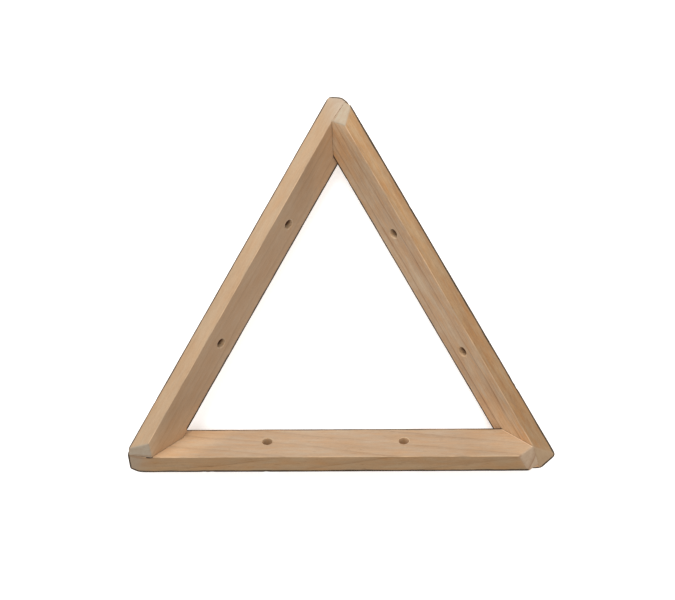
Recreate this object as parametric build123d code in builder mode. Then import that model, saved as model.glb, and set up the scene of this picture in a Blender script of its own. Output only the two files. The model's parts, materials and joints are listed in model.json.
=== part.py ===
"""Triangle rack: three leaning wooden rails, butted onto one another round a triangle.

Each rail's end meets the wide face of the next rail, and that next rail runs past it. The rack lies
flat with its wide mouth up. Millimetres, +Z up, origin under the middle of the whole rack.
"""

from build123d import *
import os
from math import cos, radians, sin, sqrt

# Driving dimensions
ball_diameter = 57.15  # a pool ball
rack_play = 1.5  # how much longer the opening's side is than fifteen packed balls need
plank_width = 48.0
plank_thickness = 21.0
lean = radians(55)  # of a rail's wide face, from level
climb = 0.033  # each rail climbs this much per millimetre towards its butted end
stock_length = 540.0  # each rail is sawn from a longer plank
arris_radius = 0.9  # the long edges are eased by hand
trim_setback = 1.0  # how far inside a rail's outer edge the end that runs past it is sawn off

hole_diameter = 11.0
hole_spacing = 147.0

dowel_diameter = 8.0
dowel_length = 30.0
dowel_in_face = 12.0  # the part of a dowel that sits in the wide face of the next rail
dowel_end_gap = 1.0  # room for glue at each end of a dowel
dowel_lead = 0.8
upper_dowel_rise = 24.0  # where a dowel crosses its joint, up the face from the opening edge
lower_dowel_rise = 7.0

# Worked from them: fifteen balls lie in five rows, so the triangle round them has this side
opening_side = ball_diameter * (4 + sqrt(3)) + rack_play
opening_inradius = opening_side / (2 * sqrt(3))
ridge_height = plank_width * sin(lean)  # a rail's upper edge above its opening edge
outer_reach = opening_inradius + plank_width * cos(lean) + plank_thickness * sin(lean)

# The rails in order round the triangle, each a third of a turn on. Every rail butts onto the next.
rail_names = ["bottom", "right", "left"]

# A rail's two holes sit "rise" up the face from the opening edge, and the middle of the pair is
# "shift" from the rail's middle.
hole_places = {
    "bottom": {"rise": 21.4, "shift": -3.9},
    "right": {"rise": 24.0, "shift": -2.9},
    "left": {"rise": 23.8, "shift": -8.6},
}

# The corners, in the order of the rails that butt there, are trimmed by hand. Each cut is given by
# how far it turns from the corner's own line, its slope from level, and how far out it crosses
# that line at the height of the ridges.
corner_names = ["right", "apex", "left"]
corner_cuts = {
    "right": {
        "butted": (23, 42.5, 230.6),  # the flat across the end of the rail that butts
        "passing": (0, 27, 223.3),  # the flat across the end of the rail that runs past
        "tip": (-20, 90, 259.8),  # the upright cut that takes the point off
        "heel": (12, 90, 263.8),  # the upright cut beside it, towards the passing rail's outer edge
        "shoulder": (-48, 90, 267.7),  # the upright cut on its other side, towards the butted rail
    },
    "apex": {
        "butted": (43.5, 43, 231.8),
        "passing": (33.5, 29.5, 227.5),
        "tip": (-7.5, 90, 262.3),
        "heel": (10.5, 90, 264.2),
        "shoulder": (-39, 90, 266.0),
    },
    "left": {
        "butted": (43, 43.5, 231.3),
        "passing": (31.5, 33.5, 230.6),
        "tip": (-23, 90, 261.3),
        "heel": (36, 90, 266.3),
        "shoulder": (-43, 90, 267.5),
    },
}


def wide_face(index):
    """The plane of a rail's wide face, from the middle of its opening edge.

    X runs along the rail to its butted end, Y runs down the face and Z points out of the wood.
    """
    along = Vector(1, 0, climb)
    down = Vector(0, cos(lean), -sin(lean))
    middle = Vector(0, -opening_inradius, 0)
    turn = 120 * (index % 3)
    return Plane(
        origin=middle.rotate(Axis.Z, turn),
        x_dir=along.rotate(Axis.Z, turn),
        z_dir=along.cross(down).rotate(Axis.Z, turn),
    )


def corner_cut(index, cut):
    """The plane of one of a corner's cuts, with Z pointing away from the wood that stays."""
    index %= 3
    turn, slope, reach = corner_cuts[corner_names[index]][cut]
    corner_line = 120 * index - 30
    tipped = Vector(sin(radians(slope)), 0, cos(radians(slope)))
    return Plane(
        origin=Vector(reach, 0, ridge_height).rotate(Axis.Z, corner_line),
        z_dir=tipped.rotate(Axis.Z, corner_line + turn),
    )


def upright_trim(index):
    """The upright plane just inside a rail's outer edge, with Z pointing outwards."""
    turn = 120 * (index % 3)
    return Plane(
        origin=Vector(0, trim_setback - outer_reach, 0).rotate(Axis.Z, turn),
        z_dir=Vector(0, -1, 0).rotate(Axis.Z, turn),
    )


def dowel_seat(index, rise):
    """The plane of a dowel's lower end, with Z along the dowel into the rail that butts."""
    butted = wide_face(index)
    passing = wide_face(index + 1)
    start = butted.origin - butted.z_dir * (plank_thickness / 2) - butted.y_dir * rise
    crossing = Axis(start, butted.x_dir).intersect(passing)
    return Plane(origin=crossing, z_dir=passing.z_dir).offset(-dowel_in_face)


def make_rail(index):
    """One rail: an eased plank, sawn at both ends, drilled through and bored for its dowels."""
    name = rail_names[index]
    holes = hole_places[name]
    face = wide_face(index)
    with BuildPart() as rail:
        with BuildSketch(face):
            Rectangle(stock_length, plank_width, align=(Align.CENTER, Align.MAX))
        extrude(amount=-plank_thickness)
        fillet(rail.edges().group_by(SortBy.LENGTH)[-1], radius=arris_radius)
        # The butted end sits on the next rail's wide face
        split(bisect_by=wide_face(index + 1), keep=Keep.TOP)
        split(bisect_by=corner_cut(index, "butted"), keep=Keep.BOTTOM)
        # The other end runs past the last rail, is sawn off along it and trimmed to the corner
        split(bisect_by=upright_trim(index - 1), keep=Keep.BOTTOM)
        for cut in ("passing", "tip", "heel", "shoulder"):
            split(bisect_by=corner_cut(index - 1, cut), keep=Keep.BOTTOM)
        # Two through holes, square to the wide face
        with BuildSketch(face):
            with Locations((holes["shift"], -holes["rise"])):
                with GridLocations(hole_spacing, 0, 2, 1):
                    Circle(hole_diameter / 2)
        extrude(amount=-plank_thickness, mode=Mode.SUBTRACT)
        # Blind sockets for the dowels of both corners
        for corner in (index, index - 1):
            for rise in (upper_dowel_rise, lower_dowel_rise):
                with BuildSketch(dowel_seat(corner, rise).offset(-dowel_end_gap)):
                    Circle(dowel_diameter / 2)
                extrude(amount=dowel_length + 2 * dowel_end_gap, mode=Mode.SUBTRACT)
    rail.part.label = f"{name}_rail"
    return rail


def make_dowel(index, which, rise):
    """A glued dowel, with a small lead at each end."""
    with BuildPart() as dowel:
        with BuildSketch(dowel_seat(index, rise)):
            Circle(dowel_diameter / 2)
        extrude(amount=dowel_length)
        chamfer(dowel.edges().filter_by(GeomType.CIRCLE), length=dowel_lead)
    dowel.part.label = f"{corner_names[index]}_{which}_dowel"
    return dowel


pieces = []
for index in range(3):
    pieces.append(make_rail(index))
    pieces.append(make_dowel(index, "upper", upper_dowel_rise))
    pieces.append(make_dowel(index, "lower", lower_dowel_rise))

# Stand the rack on its lowest points, with the origin under the middle of its box
box = Compound([piece.part for piece in pieces]).bounding_box()
stand = Location((-box.center().X, -box.center().Y, -box.min.Z))

os.makedirs("parts", exist_ok=True)
for piece in pieces:
    piece.part.move(stand)
    export_step(piece.part, f"parts/{piece.part.label}.step")
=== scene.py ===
"""The looks of the triangle rack: three hand-eased wooden rails, a studio and the camera.

Each CAD rail is carved again as a dense mesh from its own flat faces, bores and dowel sockets, with
worn arrises and nicks, and gets a solid wood whose growth rings run right through it.
"""

import json
import math

import bpy
import numpy as np
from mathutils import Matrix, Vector


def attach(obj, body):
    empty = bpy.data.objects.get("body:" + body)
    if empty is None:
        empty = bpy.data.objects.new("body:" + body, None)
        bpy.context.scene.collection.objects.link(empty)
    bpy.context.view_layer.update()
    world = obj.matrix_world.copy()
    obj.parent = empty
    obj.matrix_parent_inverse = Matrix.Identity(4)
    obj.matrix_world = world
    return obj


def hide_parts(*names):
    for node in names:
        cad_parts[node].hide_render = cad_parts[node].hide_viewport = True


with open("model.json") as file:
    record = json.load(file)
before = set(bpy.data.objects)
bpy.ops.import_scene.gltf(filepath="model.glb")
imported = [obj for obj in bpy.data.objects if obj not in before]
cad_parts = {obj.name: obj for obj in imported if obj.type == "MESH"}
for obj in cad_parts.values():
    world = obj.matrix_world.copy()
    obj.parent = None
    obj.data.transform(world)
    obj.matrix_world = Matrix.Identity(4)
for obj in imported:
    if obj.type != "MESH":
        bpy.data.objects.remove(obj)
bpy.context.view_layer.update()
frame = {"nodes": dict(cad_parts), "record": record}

MM = 0.001
RAILS = ["bottom", "right", "left"]  # in order round the triangle: each butts onto the next
DOWELS = [name for name in frame["nodes"] if name.endswith("_dowel")]
MOUNTS = {mount["name"]: mount for mount in frame["record"]["mounts"]}

# How the wood is worked, in millimetres. A blend of b rounds a square edge to a radius of about 2.4 b
ARRIS_BLEND = 0.47  # on the long edges, with how much it varies and over what length
ARRIS_VARIATION = 0.06
ARRIS_WAVE = 90.0
NOSE_BLEND = 0.58  # on the edges round the ends
JOINT_EDGE_SHARE = 0.1  # how much of that is left where an edge meets a glued joint
JOINT_REACH = 2.0  # the rails were planed and their ends eased up to here from a glued joint
JOINT_BITE = 0.3  # a butted end sinks this far into the next rail, so that no gap shows
SEAM_BLEND = 0.05  # round that end
RIM_BLEND = 0.30  # round the mouths of the bores
PLANING_DEPTH = 0.05  # the plane left shallow waves
PLANING_WAVE = 34.0
DOWEL_END_GAP = 1.0  # a dowel's socket is this much longer than the dowel, at each end
NICKS_PER_RAIL = 9
NICK_DEPTH = 0.45  # at most, and never shallower than this share of it
NICK_SHALLOWEST = 0.4
NICK_REACH = 1.5
NICK_STRETCH = 1.6  # how much further a nick reaches along the rail
NICK_SETBACK = 60.0  # the nicks stay this far from the rail's ends
CHIPPED_RAIL = "bottom"  # its ridge is chipped just under the tip of the rail that butts onto it
CHIP_DEPTH = 1.3
CHIP_SETBACK = 2.4
CHIP_SHADOW_LENGTH = 4.2  # how far the painted shadow in the chip, under the butting rail's tip, reaches along the joint and away from it
CHIP_SHADOW_WIDTH = 2.2
FIRST_SEED = 20  # the rails' waves and nicks are drawn with this seed and the ones after it

# Spacing of the carving grid along the rail and across it, in millimetres, and where it is finer: so
# far from each end, from the middle of a bore or a nick, and from the long edges
COARSE_STEP = 3.0
FINE_STEP = 0.8
ACROSS_STEP = 0.96
EDGE_STEP = 0.4
PASSING_SPAN = 62.0
BUTTED_SPAN = 76.0
BORE_SPAN = 7.0
NICK_SPAN = 3.0
EDGE_SPAN = 2.4
GRID_MARGIN = 1.0

# How far from a joint, a rail's end, a bore's mouth and a bore's wall the colour still changes: the
# painted light, highlight and glue line by a joint, the greyer end grain, and the painted shade and
# paler walls of a bore
JOINT_ZONE = 40.0
END_ZONE = 3.0
MOUTH_ZONE = 8.0
WALL_ZONE = 0.8
BORE_SHADE_SIDE = 0.3  # how much darker the painted shade is on the side of a bore whose wall faces up the wide face
HIDDEN_SHARE = 0.3  # how wide the painted shade line is on the hidden face beside an edge, as a share

# How wide the painted shade line is along each rail's opening edge, outer edge and upright ends (it
# stands in for the shade on the rounded edges that turn away from the light), and how far off its
# butted joint the line along the opening edge stops
EDGE_SHADE_WIDTHS = {
    "bottom": {"opening": 2.6, "outer": 3.2, "ends": 2.4, "stop": 0.0},
    "right": {"opening": 3.2, "outer": 3.0, "ends": 2.2, "stop": 0.0},
    "left": {"opening": 3.6, "outer": 2.2, "ends": 2.0, "stop": 10.0},
}


# ---- The rails' own frames -------------------------------------------------------------------


def unit(vector):
    return vector / np.linalg.norm(vector)


def mesh_points(node):
    points = np.empty(len(node.data.vertices) * 3)
    node.data.vertices.foreach_get("co", points)
    return points.reshape(-1, 3)


class RailFrame:
    """A rail's own axes, in millimetres: x along it to its butted end, y down its wide face, z out.

    The origin is on the opening edge, beside the middle of the two bores.
    """

    def __init__(self, name):
        self.node = frame["nodes"][f"{name}_rail"]
        near = MOUNTS[f"{name}_rail_passing_end_bore"]
        far = MOUNTS[f"{name}_rail_butted_end_bore"]
        self.bore_radius = near["dims"]["r_mm"]
        near_point, far_point = np.array(near["pos_m"]), np.array(far["pos_m"])
        along = unit(far_point - near_point)
        out = np.array(near["axis"])
        out = unit(out - along * (out @ along))
        self.axes = np.array([along, np.cross(out, along), out])
        self.origin = (near_point + far_point) / 2
        opening_edge = self.extent()[1][1]
        self.origin = self.origin + self.axes[1] * opening_edge * MM
        self.low, self.high = self.extent()
        self.bores = [self.inward(near_point), self.inward(far_point)]

    def extent(self):
        points = self.inward(mesh_points(self.node))
        return points.min(0), points.max(0)

    def inward(self, points):
        """Row frame, metres, to the rail's frame, millimetres."""
        return (points - self.origin) @ self.axes.T / MM

    def outward(self, points):
        """The rail's frame, millimetres, to the row frame, metres."""
        return self.origin + points * MM @ self.axes


SMALLEST_FACE = 2.0  # square millimetres: a smaller triangle doesn't make a flat face of its own


def flat_faces(rail):
    """The planes of the rail's flat faces as rows of (normal, offset), without the eased arrises."""
    mesh = rail.node.data
    mesh.calc_loop_triangles()
    corners = np.empty(len(mesh.loop_triangles) * 3, int)
    mesh.loop_triangles.foreach_get("vertices", corners)
    points = rail.inward(mesh_points(rail.node))
    a, b, c = points[corners.reshape(-1, 3)].transpose(1, 0, 2)
    cross = np.cross(b - a, c - a)
    areas = np.linalg.norm(cross, axis=1) / 2
    planes = []
    for i in np.argsort(-areas):
        if areas[i] < SMALLEST_FACE:
            break
        normal = unit(cross[i])
        offset = normal @ a[i]
        known = any(normal @ n > 0.99995 and abs(offset - o) < 0.05 for n, o in planes)
        outermost = (points @ normal).max() < offset + 0.02
        # The facets of an eased arris run along the rail and face between across and out
        eased = abs(normal[0]) < 0.01 and min(abs(normal[1]), abs(normal[2])) > 0.005
        if outermost and not known and not eased:
            planes.append((normal, offset))
    return planes


def dowel_rods(rail):
    """The sockets in this rail, one for each dowel in it: (centre, direction, half length, radius)."""
    rods = []
    for name in DOWELS:
        points = rail.inward(mesh_points(frame["nodes"][name]))
        centre = (points.min(0) + points.max(0)) / 2
        direction = np.linalg.svd(points - points.mean(0), full_matrices=False)[2][0]
        reach = np.abs((points - centre) @ direction).max()
        radius = np.linalg.norm(np.cross(points - centre, direction), axis=1).max()
        if (centre > rail.low - reach).all() and (centre < rail.high + reach).all():
            rods.append((centre, direction, reach + DOWEL_END_GAP, radius))
    return rods


# ---- Carving ---------------------------------------------------------------------------------


def smooth_max(fields, blend):
    """The largest of the fields, rounded where two of them are nearly equal."""
    fields = np.array(fields)
    top = fields.max(0)
    return top + blend * np.log(np.exp((fields - top) / blend).sum(0))


def wander(x, seed, length):
    """A smooth random curve from about -1 to 1, with waves near the given length."""
    random = np.random.default_rng(seed)
    total = 0
    for share in (0.5, 1.0, 1.9):
        wave = length * share * random.uniform(0.8, 1.25)
        total = total + np.sin(2 * math.pi * (x / wave + random.uniform(0, 1)))
    return total / 2


class Carving:
    """A rail as a field: negative inside the wood, positive outside, in the rail's frame."""

    def __init__(self, name, seed):
        rail = RailFrame(name)
        place = RAILS.index(name)
        passed = RailFrame(RAILS[(place + 1) % 3])
        self.rail = rail
        self.seed = seed
        self.butting = RailFrame(RAILS[place - 1])
        self.butting_faces = flat_faces(self.butting)
        self.sides, self.ends, self.butt = [], [], None
        for plane in flat_faces(rail):
            if plane[0] @ (rail.axes @ -passed.axes[2]) > 0.9999:
                self.butt = plane
            elif abs(plane[0][0]) < 0.01:
                self.sides.append(plane)
            else:
                self.ends.append(plane)
        self.sockets = dowel_rods(rail)
        random = np.random.default_rng(seed)
        width, thickness = rail.low[1], rail.low[2]
        # The opening edge, the ridge twice, as it is nicked more often, and the outer edge
        edges = [(0, 0), (width, 0), (width, 0), (width, thickness)]
        start, end = rail.low[0] + NICK_SETBACK, rail.high[0] - NICK_SETBACK
        self.nicks = []
        for place in random.uniform(start, end, NICKS_PER_RAIL):
            edge = edges[random.integers(len(edges))]
            self.nicks.append((place, *edge, random.uniform(NICK_SHALLOWEST, 1) * NICK_DEPTH))
        self.chip = None
        if name == CHIPPED_RAIL:
            self.chip = np.array([self.tip()[0] - CHIP_SETBACK, width, 0])
            self.nicks.append((*self.chip, CHIP_DEPTH))

    def tip(self):
        """Where the top of the wide face of the rail that butts onto this one ends.

        Three planes meet there: that wide face, the sawn end that sits on this rail's wide face, and
        the flat across the end.
        """
        planes = []
        for normal, offset in self.butting_faces:
            out = normal @ self.butting.axes
            wide = out @ self.butting.axes[2] > 0.9999
            sawn = out @ self.rail.axes[2] < -0.9999
            flat = min(normal[0], out[2]) > 0.4
            if wide or sawn or flat:
                planes.append((*normal, offset))
        planes = np.array(planes)
        corner = np.linalg.solve(planes[:, :3], planes[:, 3])
        return self.rail.inward(self.butting.outward(corner))

    def bore(self, points, centre):
        """One of the two bores as a field, positive in the hole."""
        return self.rail.bore_radius - np.hypot(points[:, 0] - centre[0], points[:, 1] - centre[1])

    def socket(self, points, rod):
        """A dowel's socket as a field, positive in the hole."""
        centre, direction, reach, radius = rod
        along = (points - centre) @ direction
        away = np.linalg.norm(points - centre - along[:, None] * direction, axis=1)
        return -np.maximum(np.abs(along) - reach, away - radius)

    def plank(self, points):
        """The plank's four long faces as one field, its arrises rounded by a wandering amount."""
        blend = ARRIS_BLEND + ARRIS_VARIATION * wander(points[:, 0], self.seed, ARRIS_WAVE)
        return smooth_max([points @ n - o for n, o in self.sides], blend)

    def eased(self, points):
        """How much wood was rubbed off the long arrises at each point, in millimetres."""
        return self.plank(points) - np.max([points @ n - o for n, o in self.sides], axis=0)

    def gap(self, points):
        """How far each point is outside the rail that butts onto this one."""
        there = self.butting.inward(self.rail.outward(points))
        return np.max([there @ n - o for n, o in self.butting_faces], axis=0)

    def butt_distance(self, points):
        """How far each point is inside the rail's butted end."""
        return self.butt[1] - points @ self.butt[0]

    def joint_distance(self, points):
        """How far each point is from the nearer of the rail's two glued joints."""
        return np.clip(np.minimum(self.gap(points), self.butt_distance(points)), 0, None)

    def __call__(self, points):
        x, y, z = points.T
        beside = np.clip(self.joint_distance(points) / JOINT_REACH, 0, 1)
        blend = NOSE_BLEND * (JOINT_EDGE_SHARE + (1 - JOINT_EDGE_SHARE) * beside)
        field = smooth_max([self.plank(points)] + [points @ n - o for n, o in self.ends], blend)
        field = smooth_max([field, points @ self.butt[0] - self.butt[1] - JOINT_BITE], SEAM_BLEND)
        field = smooth_max([field] + [self.bore(points, c) for c in self.rail.bores], RIM_BLEND)
        for rod in self.sockets:
            field = np.maximum(field, self.socket(points, rod))
        waves = 0.5 + 0.25 * wander(x, self.seed + 1, PLANING_WAVE)
        field = field + PLANING_DEPTH * waves * beside
        for nick_x, nick_y, nick_z, depth in self.nicks:
            across = np.hypot(y - nick_y, z - nick_z)
            distance = np.hypot((x - nick_x) / NICK_STRETCH, across)
            field = field + depth * np.exp(-((distance / NICK_REACH) ** 2))
        return field


def graded(low, high, zones, fine, coarse):
    """Grid lines from low to high, fine inside the zones and coarse elsewhere."""
    lines = [low]
    while lines[-1] < high:
        close = any(start - coarse < lines[-1] < end for start, end in zones)
        lines.append(lines[-1] + (fine if close else coarse))
    return np.array(lines)


def surface_net(lines, field):
    """The surface where the field is zero, as vertices and quads, one vertex to a grid cell."""
    grid = np.stack(np.meshgrid(*lines, indexing="ij"), -1)
    value = field(grid.reshape(-1, 3)).reshape(grid.shape[:3])
    inside = value < 0
    cells = np.zeros(np.array(inside.shape) - 1, int)
    for corner in np.ndindex(2, 2, 2):
        span = tuple(slice(c, c + n) for c, n in zip(corner, cells.shape))
        cells += inside[span]
    mixed = (cells > 0) & (cells < 8)
    index = np.full(cells.shape, -1)
    index[mixed] = np.arange(mixed.sum())
    return cell_points(grid, value, np.array(np.nonzero(mixed))), cell_quads(inside, index)


def cell_points(grid, value, cell):
    """One point for each cell: the mean of where the surface crosses the cell's edges."""
    inside = value < 0
    total = np.zeros((cell.shape[1], 3))
    crossings = np.zeros(cell.shape[1])
    for axis in range(3):
        step = np.eye(3, dtype=int)[axis][:, None]
        for corner in np.ndindex(2, 2, 2):
            if corner[axis]:
                continue
            low = tuple(cell + np.array(corner)[:, None])
            high = tuple(cell + np.array(corner)[:, None] + step)
            crossed = inside[low] != inside[high]
            share = value[low][crossed] / (value[low][crossed] - value[high][crossed])
            start, end = grid[low][crossed], grid[high][crossed]
            total[crossed] += start + share[:, None] * (end - start)
            crossings[crossed] += 1
    return total / crossings[:, None]


def cell_quads(inside, index):
    """One quad round each grid edge that the surface crosses, through the four cells beside it."""
    quads = []
    for axis in range(3):
        second, third = (axis + 1) % 3, (axis + 2) % 3
        span = [slice(1, -1)] * 3
        span[axis] = slice(0, -1)
        ahead = list(span)
        ahead[axis] = slice(1, None)
        changed = inside[tuple(span)] != inside[tuple(ahead)]
        edge = np.array(np.nonzero(changed)).T + np.where(np.arange(3) == axis, 0, 1)
        around = []
        for back_second, back_third in ((1, 1), (0, 1), (0, 0), (1, 0)):
            back = np.zeros(3, int)
            back[second], back[third] = back_second, back_third
            around.append(index[tuple((edge - back).T)])
        quad = np.array(around).T
        leaving = inside[tuple(edge.T)]
        quad[~leaving] = quad[~leaving][:, ::-1]
        quads.append(quad)
    return np.concatenate(quads)


def slope(field, points, step=0.02):
    """The field's gradient at each point, measured over a short step to both sides."""
    sides = []
    for axis in range(3):
        shift = np.zeros(3)
        shift[axis] = step
        sides.append((field(points + shift) - field(points - shift)) / (2 * step))
    return np.array(sides).T


def settle(field, points, rounds=3, longest_move=0.3, flattest=0.05):
    """Moves points onto the field's zero surface by Newton's steps. Gives its unit normals too."""
    for _ in range(rounds):
        gradient = slope(field, points)
        size = np.maximum((gradient**2).sum(1), flattest)
        move = (field(points) / size)[:, None] * gradient
        points = points - np.clip(move, -longest_move, longest_move)
    gradient = slope(field, points)
    return points, gradient / np.linalg.norm(gradient, axis=1)[:, None]


def grid_lines(carving):
    """The carving grid's lines along the rail, across its width and through its thickness."""
    rail = carving.rail
    low, high = rail.low - GRID_MARGIN, rail.high + GRID_MARGIN
    spots = [(low[0], low[0] + PASSING_SPAN), (high[0] - BUTTED_SPAN, high[0])]
    spots += [(bore[0] - BORE_SPAN, bore[0] + BORE_SPAN) for bore in rail.bores]
    spots += [(nick[0] - NICK_SPAN, nick[0] + NICK_SPAN) for nick in carving.nicks]
    lines = [graded(low[0], high[0], spots, FINE_STEP, COARSE_STEP)]
    for axis in (1, 2):
        edges = [(low[axis], low[axis] + EDGE_SPAN), (high[axis] - EDGE_SPAN, high[axis])]
        lines.append(graded(low[axis], high[axis], edges, EDGE_STEP, ACROSS_STEP))
    return lines


def carve(name, seed):
    """The visual rail: a new mesh object that replaces the CAD node."""
    carving = Carving(name, seed)
    rail = carving.rail
    points, quads = surface_net(grid_lines(carving), carving)
    points, normals = settle(carving, points)
    mesh = bpy.data.meshes.new(f"carved_{name}_rail")
    mesh.from_pydata(rail.outward(points), [], quads)
    mesh.shade_smooth()
    mesh.normals_split_custom_set_from_vertices(normals @ rail.axes)
    # What the wood shader reads: where each point was in the plank, how it was worked, and where
    # light and shade are painted
    store(mesh, "grain", points * MM)
    store(mesh, "end_grain", np.abs(normals[:, 0]))
    store(mesh, "edge_grain", np.abs(normals[:, 1]))
    store(mesh, "eased", carving.eased(points))
    # painted shade: dark lines along the opening and outer edges and the tops of the upright cuts
    store(mesh, "edge_shade", shaded_edge_lines(carving, points, EDGE_SHADE_WIDTHS[name]))
    store(mesh, "bored", near_bore(carving, points))
    # painted shade in the bores: darker with depth and on one side
    store(mesh, "bore_shade", bore_shading(rail, points, normals))
    store(mesh, "joint", 1 - carving.joint_distance(points) / JOINT_ZONE)
    store(mesh, "near_end", 1 - end_distance(carving, points) / END_ZONE)
    piece = bpy.data.objects.new(f"carved_{name}_rail", mesh)
    bpy.context.scene.collection.objects.link(piece)
    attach(piece, "root")
    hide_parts(f"{name}_rail")
    return piece


def shaded_edge_lines(carving, points, widths):
    """How near each point is to a painted shade line: 1 on it, a half at its border and 0 further off.

    The lines of painted shade run along the opening edge, the outer edge and the tops of the upright
    cuts, and a painted shadow lies in the chip under the tip of the butting rail.
    """
    width, thickness = carving.rail.low[1], carving.rail.low[2]
    y, z = points[:, 1], points[:, 2]
    past_stop = np.clip(widths["stop"] - carving.butt_distance(points), 0, None)
    shares = [np.hypot(np.hypot(y, z / HIDDEN_SHARE), past_stop) / widths["opening"]]
    shares.append(np.hypot((y - width) / HIDDEN_SHARE, z - thickness) / widths["outer"])
    upward, upright = [], []
    for normal, offset in carving.sides + carving.ends:
        rise = normal @ carving.rail.axes[:, 2]
        if rise > 0.1:
            upward.append(offset - points @ normal)
        elif rise > -0.1:
            upright.append(offset - points @ normal)
    top = np.min(upward, axis=0)
    for distance in upright:
        shares.append(np.hypot(distance, top / HIDDEN_SHARE) / widths["ends"])
    # a painted shadow in the chip, under the tip of the rail that butts onto this one
    if carving.chip is not None:
        along = np.linalg.norm(points - carving.chip, axis=1) / CHIP_SHADOW_LENGTH
        shares.append(np.hypot(along, carving.gap(points) / CHIP_SHADOW_WIDTH))
    return 1 - np.min(shares, axis=0) / 2


def near_bore(carving, points):
    """1 on the walls of the two bores and 0 a little way off them."""
    away = [carving.bore(points, centre) for centre in carving.rail.bores]
    return 1 - np.min(np.abs(away), axis=0) / WALL_ZONE


def bore_shading(rail, points, normals):
    """How dark the painted shade is on a bore's wall: more with depth, and on the side that faces up
    the wide face.
    """
    z = points[:, 2]
    depth = np.minimum(-z, z - rail.low[2]) / MOUTH_ZONE
    return depth - BORE_SHADE_SIDE * (normals @ rail.axes)[:, 1]


def end_distance(carving, points):
    """How far each point is from the nearest of the flats across the rail's ends."""
    return np.min([offset - points @ normal for normal, offset in carving.ends], axis=0)


def store(mesh, name, values):
    """Gives the mesh a point attribute, of vectors or of plain numbers, which are kept from 0 to 1."""
    if values.ndim == 2:
        attribute = mesh.attributes.new(name, "FLOAT_VECTOR", "POINT")
        attribute.data.foreach_set("vector", values.astype(np.float32).ravel())
    else:
        attribute = mesh.attributes.new(name, "FLOAT", "POINT")
        attribute.data.foreach_set("value", np.clip(values, 0, 1).astype(np.float32))


# ---- Wood ------------------------------------------------------------------------------------


class Shader:
    """A material's node tree. An input may be a number, a tuple or another node's socket."""

    def __init__(self, name):
        self.material = bpy.data.materials.new(name)
        self.material.use_nodes = True
        self.nodes = self.material.node_tree.nodes
        self.links = self.material.node_tree.links
        self.surface = self.nodes["Principled BSDF"]

    def put(self, socket, value):
        if isinstance(value, bpy.types.NodeSocket):
            self.links.new(value, socket)
        else:
            socket.default_value = value

    def add(self, kind, inputs, output=0, **settings):
        """A new node of this kind. Gives the socket of its output, by number or by name."""
        node = self.nodes.new(f"ShaderNode{kind}")
        for key, value in settings.items():
            setattr(node, key, value)
        for key, value in inputs.items():
            self.put(node.inputs[key], value)
        return node.outputs[output]

    def math(self, operation, first, second=0.0, clamp=False):
        inputs = {0: first, 1: second}
        return self.add("Math", inputs, operation=operation, use_clamp=clamp)

    def multiply(self, first, second):
        return self.math("MULTIPLY", first, second)

    def plus(self, first, second):
        return self.math("ADD", first, second)

    def weighed(self, start, *terms, clamp=False):
        """start plus each of the (value, weight) terms."""
        total = start
        for value, weight in terms:
            total = self.plus(total, self.multiply(value, weight))
        return self.math("ADD", total, 0.0, clamp=clamp)

    def without(self, value):
        """1 where the value is 0, and the other way round."""
        return self.math("SUBTRACT", 1.0, value)

    def stretch(self, vector, factors):
        return self.add("VectorMath", {0: vector, 1: factors}, operation="MULTIPLY")

    def noise(self, vector, seed, detail, roughness):
        """Noise about 0, from -0.5 to 0.5."""
        inputs = {"Vector": vector, "W": seed, "Scale": 1.0, "Detail": detail, "Roughness": roughness}
        value = self.add("TexNoise", inputs, noise_dimensions="4D")
        return self.plus(value, -0.5)

    def ramp(self, value, stops):
        """A value read through a curve of (place, result) stops."""
        node = self.nodes.new("ShaderNodeValToRGB")
        elements = node.color_ramp.elements
        while len(elements) < len(stops):
            elements.new(0.5)
        for element, (place, result) in zip(elements, stops):
            element.position = place
            element.color = (result, result, result, 1)
        self.put(node.inputs[0], value)
        return node.outputs[0]

    def blend(self, share, first, second, mode="MIX"):
        """Two colours blended. A Mix node's colour sockets can only be told apart by number."""
        inputs = {0: share, 6: first, 7: second}
        return self.add("Mix", inputs, output=2, data_type="RGBA", blend_type=mode)

    def split(self, vector):
        """A vector's three parts."""
        return [self.add("SeparateXYZ", {0: vector}, output=axis) for axis in "XYZ"]

    def attribute(self, name):
        return self.add("Attribute", {}, output="Fac", attribute_name=name)


def colour(red, green, blue):
    """A colour written as it looks on a screen, from 0 to 255, as Blender's linear numbers."""
    share = np.array([red, green, blue]) / 255
    linear = np.where(share < 0.04045, share / 12.92, ((share + 0.055) / 1.055) ** 2.4)
    return (*linear, 1.0)


# Across each growth ring: pale early wood, then darker and darker until the dark late wood stops
RING = [(0, 0.0), (0.4, 0.10), (0.74, 0.45), (0.9, 1.0), (1, 0.0)]

# The noises that each wood is mixed from: about how many waves they have to a millimetre along the
# plank and across it, how much finer detail there is in them and how rough that is
NOISES = {
    "sway": (0.008, 0.03, 3.0, 0.5),  # where the growth rings wander to
    "fibre": (0.015, 0.8, 4.0, 0.7),  # fine streaks
    "broad": (0.004, 0.11, 2.0, 0.5),  # broad bands
    "patch": (0.02, 0.06, 4.0, 0.5),  # darker areas, in which the growth rings show more
    "fleck": (0.12, 0.9, 1.0, 0.5),  # short dark flecks, where this noise is strongest
    "pores": (0.3, 1.4, 3.0, 0.7),  # the pores of the end grain
    "blotch": (0.05, 0.28, 3.0, 0.5),  # warm blotches and uneven wear
    "tooth": (0.5, 0.9, 2.0, 0.5),  # the tooth of a worn surface
    "mottle": (0.13, 0.55, 3.0, 0.5),  # mottling
}
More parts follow.
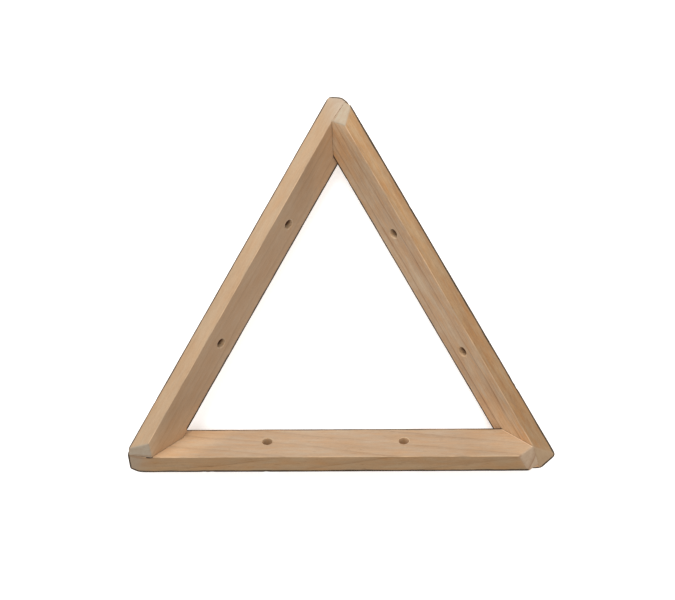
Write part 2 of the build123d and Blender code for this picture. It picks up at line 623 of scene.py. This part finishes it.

# Each plank's wood, in millimetres and years:
#   heart: where the tree's heart was in the plank's section (y, z)
#   taper, rings, wander: how fast the rings taper along the plank, how far apart they are and how
#     far they wander
#   dark_year, cycle: a year with a dark ring, and after how many years the next dark one comes
#   contrast, streaks, mottle, blotches, flecks: how much the rings and each kind of noise show
#   joint_light: how much painted light brightens the wide face towards the passing and the butted
#       joint
#   joint_highlight: how strong the painted highlight is on a line beside the butted joint
#   bore_shade: how dark the painted shade deep in the bores is
#   seed: where its noises start
#   pale, dark, warm: pale wood, dark wood and the warm blotches
#   edge, drift: how the narrow faces differ, as factors, partly in their own tone and partly as
#     painted shade, and what those are multiplied by towards the passing end
#   passing_end, butted_end, end_dark: the pale end grain of each end, and its dark parts
WOODS = {
    "left": {
        "heart": (62.0, -48.0), "taper": 0.004, "rings": 6.4, "wander": 10.0, "dark_year": 1,
        "cycle": 3, "contrast": 0.24, "streaks": 0.28, "mottle": 0.38, "blotches": 0.5,
        "flecks": 0.10, "joint_light": (0.45, 0.40), "joint_highlight": 0.0, "bore_shade": 0.95, "seed": 3.0,
        "pale": (177, 151, 123), "dark": (137, 106, 77), "warm": (181, 143, 106),
        "edge": (0.98, 1.0, 1.0), "drift": 1.0,
        "passing_end": (170, 157, 140), "butted_end": (170, 156, 136), "end_dark": (150, 118, 92),
    },
    "right": {
        "heart": (61.2, -40.0), "taper": 0.003, "rings": 4.75, "wander": 8.0, "dark_year": 1,
        "cycle": 4, "contrast": 0.58, "streaks": 0.60, "mottle": 0.55, "blotches": 0.7,
        "flecks": 0.2, "joint_light": (0.6, 0.3), "joint_highlight": 0.0, "bore_shade": 0.8, "seed": 7.0,
        "pale": (188, 164, 135), "dark": (131, 95, 69), "warm": (194, 148, 100),
        "edge": (0.88, 0.80, 0.67), "drift": 0.78,
        "passing_end": (170, 144, 114), "butted_end": (166, 152, 131), "end_dark": (150, 116, 86),
    },
    "bottom": {
        "heart": (-58.0, 12.0), "taper": 0.14, "rings": 9.0, "wander": 12.0, "dark_year": 0,
        "cycle": 2, "contrast": 0.34, "streaks": 0.50, "mottle": 0.4, "blotches": 0.6,
        "flecks": 0.6, "joint_light": (0.75, 0.3), "joint_highlight": 0.9, "bore_shade": 0.15, "seed": 11.0,
        "pale": (172, 150, 126), "dark": (132, 104, 76), "warm": (180, 141, 102),
        "edge": (0.96, 0.87, 0.72), "drift": 1.0,
        "passing_end": (157, 140, 119), "butted_end": (180, 156, 130), "end_dark": (140, 104, 74),
    },
}
# dark brown for the glue line along each joint and for the painted shade along the edges and in the
# chip
SEAM_AND_SHADE_BROWN = (56, 44, 32)
FRESH_AND_LIT_BORE_WALL = (226, 190, 148)  # paler bore walls: partly fresher wood, partly painted light
BORE_DEPTH_SHADE = (80, 44, 20)  # painted shade deeper in the bores
HIGHLIGHT_AND_WEAR_PALE = (222, 190, 154)  # painted highlight on the eased arrises, partly also their wear, and beside the butted joint
JOINT_LIGHT_FACTORS = (1.72, 1.6, 1.42)  # how much painted light brightens and warms the wide faces towards a joint, as factors
DRIFT_RATE = 0.0023  # the narrow faces' tint drifts along the rail, over about its whole length
END_RATE = 0.01  # what differs between a rail's two ends changes over its middle 100 mm


class Wood(Shader):
    """A plank's solid wood. grain makes the socket for where a point was in the plank, in metres."""

    def __init__(self, name, plank, grain):
        super().__init__(name)
        self.plank = plank
        where = self.stretch(grain(self), (1 / MM,) * 3)
        self.x, self.y, self.z = self.split(where)
        self.noises = {}
        for number, (kind, (along, across, detail, roughness)) in enumerate(NOISES.items()):
            stretched = self.stretch(where, (along, across, across))
            self.noises[kind] = self.noise(stretched, plank["seed"] + number, detail, roughness)
        self.rings = self.growth_rings()
        # 0 towards the rail's passing end and 1 towards its butted end
        self.butted = self.weighed(0.5, (self.x, END_RATE), clamp=True)
        # Where the narrow faces, the wide faces and the sawn ends are, and where the arris highlights,
        # the wear and the glue lines are uneven
        self.narrow = self.ramp(self.attribute("edge_grain"), [(0.35, 0.0), (0.75, 1.0)])
        not_sawn = self.math("LESS_THAN", self.attribute("end_grain"), 0.1)
        self.wide = self.multiply(self.without(self.narrow), not_sawn)
        sawn = self.weighed(self.attribute("end_grain"), (self.noises["blotch"], 0.12))
        self.sawn = self.ramp(sawn, [(0.06, 0.0), (0.24, 1.0)])
        self.uneven = self.weighed(0.65, (self.noises["blotch"], 4.0), clamp=True)

        surface = self.tinted_and_lit(self.long_grain())
        surface = self.with_end_grain(surface)
        surface = self.with_bores(surface)
        surface = self.with_highlights(surface)
        surface = self.with_seams_and_shade(surface)
        self.put(self.surface.inputs["Base Color"], surface)
        self.finish_surface()

    def growth_rings(self):
        """How dark the growth rings are: they lie round the heart of the tree, taper and wander."""
        plank = self.plank
        off_y = self.plus(self.y, -plank["heart"][0])
        off_z = self.plus(self.z, -plank["heart"][1])
        squares = self.plus(self.multiply(off_y, off_y), self.multiply(off_z, off_z))
        terms = [(self.x, plank["taper"]), (self.noises["sway"], plank["wander"])]
        distance = self.weighed(self.math("SQRT", squares), *terms)
        count = self.math("DIVIDE", distance, plank["rings"])
        year = self.math("FLOOR", count)
        ring = self.ramp(self.math("FRACT", count), RING)
        turn = self.multiply(self.plus(year, -plank["dark_year"]), 2 * math.pi / plank["cycle"])
        cycle = self.weighed(0.5, (self.math("COSINE", turn), 0.5))
        chance = self.add("TexWhiteNoise", {"W": year}, noise_dimensions="1D")
        darkness = self.weighed(0.05, (self.math("POWER", cycle, 3.0), 0.7), (chance, 0.3))
        return self.multiply(ring, darkness)

    def long_grain(self):
        """The colour of wood cut along its fibres."""
        plank, noises = self.plank, self.noises
        shown = self.weighed(0.9, (noises["patch"], 2.4))
        fleck = self.ramp(self.plus(noises["fleck"], 0.5), [(0.66, 0.0), (0.76, 1.0)])
        dark = self.weighed(
            0.25,
            (self.multiply(self.rings, shown), plank["contrast"]),
            (noises["mottle"], plank["mottle"]),
            (noises["fibre"], plank["streaks"]),
            (noises["broad"], plank["streaks"]),
            (noises["patch"], 0.4),
            (noises["tooth"], 0.35),
            (fleck, plank["flecks"]),
            clamp=True,
        )
        warmth = self.weighed(noises["blotch"], (noises["patch"], 0.8))
        warmth = self.weighed(0.3, (warmth, 3.0 * plank["blotches"]), clamp=True)
        pale = self.blend(warmth, colour(*plank["pale"]), colour(*plank["warm"]))
        return self.blend(dark, pale, colour(*plank["dark"]))

    def tinted_and_lit(self, surface):
        """The narrow faces differ in tint, partly in their own tone and partly as painted shade. The
        wide
        ones get painted light: brighter and warmer towards the joints.
        """
        plank = self.plank
        # partly painted shade: the narrow faces that turn away from the key light are darkened and
        # warmed
        passing_tint = (*(share * plank["drift"] for share in plank["edge"]), 1)
        lengthwise = self.weighed(0.5, (self.x, DRIFT_RATE), clamp=True)
        tint = self.blend(lengthwise, passing_tint, (*plank["edge"], 1))
        surface = self.blend(self.narrow, surface, tint, mode="MULTIPLY")
        # painted light: the wide faces brighter and warmer towards the joints, where shade falls on
        # them
        passing_light, butted_light = plank["joint_light"]
        joint_light = self.weighed(passing_light, (self.butted, butted_light - passing_light))
        joint_light = self.multiply(joint_light, self.multiply(self.wide, self.attribute("joint")))
        return self.blend(joint_light, surface, self.stretch(surface, JOINT_LIGHT_FACTORS))

    def with_end_grain(self, surface):
        """The sawn ends: rings edge on, cut pores and a greyer, cloudy surface."""
        plank, noises = self.plank, self.noises
        terms = [(self.rings, 0.6), (noises["pores"], 0.5), (noises["blotch"], 0.7)]
        dark = self.weighed(0.15, *terms, clamp=True)
        cut = self.blend(self.butted, colour(*plank["passing_end"]), colour(*plank["butted_end"]))
        cut = self.blend(dark, cut, colour(*plank["end_dark"]))
        greyed = self.multiply(self.attribute("near_end"), 0.45)
        return self.blend(self.math("MAXIMUM", self.sawn, greyed), surface, cut)

    def with_bores(self, surface):
        """The bores: paler walls, partly fresher wood and partly painted light, and painted shade
        further in.
        """
        bored = self.attribute("bored")
        # paler bore walls: partly fresher wood, partly painted light
        surface = self.blend(self.multiply(bored, 0.6), surface, colour(*FRESH_AND_LIT_BORE_WALL))
        # painted shade deeper in the bores
        bore_shade = self.ramp(self.attribute("bore_shade"), [(0.36, 0.0), (0.82, 1.0)])
        bore_shade = self.multiply(self.multiply(bored, bore_shade), self.plank["bore_shade"])
        return self.blend(bore_shade, surface, colour(*BORE_DEPTH_SHADE))

    def with_highlights(self, surface):
        """Painted highlights on the long arrises, partly also their wear, and on a line beside the
        butted joint.
        """
        # painted highlight on the eased arrises, partly also their wear
        worn = self.ramp(self.attribute("eased"), [(0.06, 0.0), (0.24, 0.6)])
        worn = self.multiply(self.multiply(worn, self.uneven), self.without(self.sawn))
        surface = self.blend(worn, surface, colour(*HIGHLIGHT_AND_WEAR_PALE))
        # painted highlight on a line beside the butted joint, where its eased end catches the light
        joint_highlight = self.ramp(self.attribute("joint"), [(0.955, 0.0), (0.972, 1.0), (0.985, 0.0)])
        joint_highlight = self.multiply(self.multiply(joint_highlight, self.wide), self.plank["joint_highlight"])
        return self.blend(self.multiply(joint_highlight, self.butted), surface, colour(*HIGHLIGHT_AND_WEAR_PALE))

    def with_seams_and_shade(self, surface):
        """A thin dark line along each glued joint, and the painted shade along the edges and in the
        chip.
        """
        seam = self.ramp(self.attribute("joint"), [(0.98, 0.0), (0.995, 0.55)])
        seam = self.multiply(self.multiply(seam, self.wide), self.uneven)
        surface = self.blend(seam, surface, colour(*SEAM_AND_SHADE_BROWN))
        # painted shade along the edges and in the chip
        shade_line = self.weighed(self.attribute("edge_shade"), (self.noises["blotch"], -0.4))
        shade_line = self.ramp(shade_line, [(0.5, 0.0), (0.62, 0.95)])
        return self.blend(shade_line, surface, colour(*SEAM_AND_SHADE_BROWN))

    def finish_surface(self):
        """How rough the wood is, and its fibres, rings and pores as fine relief."""
        fibre, tooth = self.noises["fibre"], self.noises["tooth"]
        rough = self.weighed(0.60, (fibre, 0.18), (self.sawn, 0.15))
        self.put(self.surface.inputs["Roughness"], rough)
        self.surface.inputs["Specular IOR Level"].default_value = 0.2
        pores = self.multiply(self.noises["pores"], self.sawn)
        height = self.weighed(0.0, (fibre, 0.6), (self.rings, 0.35), (pores, 1.2), (tooth, 0.3))
        bump = {"Height": height, "Strength": 0.35, "Distance": 0.15 * MM}
        self.put(self.surface.inputs["Normal"], self.add("Bump", bump))


def stored_grain(shader):
    """Where a point of a carved rail was in its plank."""
    return shader.add("Attribute", {}, output="Vector", attribute_name="grain")


for number, name in enumerate(RAILS):
    piece = carve(name, FIRST_SEED + number)
    piece.data.materials.append(Wood(f"{name}_rail_wood", WOODS[name], stored_grain).material)


# ---- Hidden dowels ---------------------------------------------------------------------------


# A plain, straight-grained hardwood, written as the planks' woods are
DOWEL_WOOD = {
    "heart": (300.0, 60.0), "taper": 0.0, "rings": 2.2, "wander": 4.0, "dark_year": 0, "cycle": 1,
    "contrast": 0.3, "streaks": 0.4, "mottle": 0.2, "blotches": 0.2, "flecks": 0.2,
    "joint_light": (0.0, 0.0), "joint_highlight": 0.0, "bore_shade": 0.0, "seed": 17.0,
    "pale": (206, 178, 140), "dark": (176, 142, 102), "warm": (206, 170, 126),
    "edge": (1.0, 1.0, 1.0), "drift": 1.0,
    "passing_end": (190, 162, 128), "butted_end": (190, 162, 128),
    "end_dark": (150, 118, 86),
}


def placed_grain(shader):
    """Where a point is in the dowel's own mesh."""
    return shader.add("TexCoord", {}, output="Object")


dowel_wood = Wood("dowel_wood", DOWEL_WOOD, placed_grain).material
for name in DOWELS:
    node = frame["nodes"][name]
    if not node.material_slots:
        node.data.materials.append(dowel_wood)
    for slot in node.material_slots:
        slot.material = dowel_wood


# ---- Studio ----------------------------------------------------------------------------------

FLOOR_SIZE = 8.0
FLOOR_WHITE = 0.92
FLOOR_GLOW = 0.45  # the white table is lit from below too, so that it shows no shadow
WORLD_LIGHT = 0.67


def make_floor():
    """The white table that the rack stands on."""
    half = FLOOR_SIZE / 2
    corners = [(-half, -half, 0), (half, -half, 0), (half, half, 0), (-half, half, 0)]
    mesh = bpy.data.meshes.new("floor")
    mesh.from_pydata(corners, [], [(0, 1, 2, 3)])
    floor = bpy.data.objects.new("floor", mesh)
    bpy.context.scene.collection.objects.link(floor)
    shader = Shader("floor_paper")
    shader.surface.inputs["Base Color"].default_value = (*(FLOOR_WHITE,) * 3, 1)
    shader.surface.inputs["Roughness"].default_value = 0.9
    shader.surface.inputs["Specular IOR Level"].default_value = 0.1
    shader.surface.inputs["Emission Color"].default_value = (1, 1, 1, 1)
    shader.surface.inputs["Emission Strength"].default_value = FLOOR_GLOW
    mesh.materials.append(shader.material)


def make_softbox(name, direction, distance, size, power):
    """A square area light that looks at the rack from a direction."""
    light = bpy.data.lights.new(name, "AREA")
    light.shape = "SQUARE"
    light.size = size
    light.energy = power
    lamp = bpy.data.objects.new(name, light)
    place = unit(np.array(direction)) * distance
    lamp.location = place
    lamp.rotation_euler = vector_angles(-place)
    bpy.context.scene.collection.objects.link(lamp)


def vector_angles(direction):
    """Euler angles that point an object's -Z along a direction."""
    return Vector(direction).to_track_quat("-Z", "Y").to_euler()


make_floor()
make_softbox("key", (-0.5, 2.0, 1.6), 2.4, 1.3, 50.0)
make_softbox("fill", (0.3, -0.8, 2.0), 2.6, 2.2, 10.0)

world = bpy.data.worlds.new("studio")
world.use_nodes = True
background = world.node_tree.nodes["Background"]
background.inputs["Color"].default_value = (1, 1, 1, 1)
background.inputs["Strength"].default_value = WORLD_LIGHT
bpy.context.scene.world = world
bpy.context.scene.view_settings.view_transform = "Standard"


# ---- Camera ----------------------------------------------------------------------------------

CAMERA_PLACE = (0.0404, 0.0, 2.6191)  # high over the rack and a little to its right
CAMERA_TURN = (-0.395, 0.957, -0.453)  # degrees
SENSOR_WIDTH = 36.0
LENS = 128.2

camera_data = bpy.data.cameras.new("camera")
camera_data.sensor_width = SENSOR_WIDTH
camera_data.lens = LENS
camera_data.clip_end = 20.0
camera = bpy.data.objects.new("camera", camera_data)
camera.location = CAMERA_PLACE
camera.rotation_euler = [math.radians(angle) for angle in CAMERA_TURN]
bpy.context.scene.collection.objects.link(camera)
bpy.context.scene.camera = camera
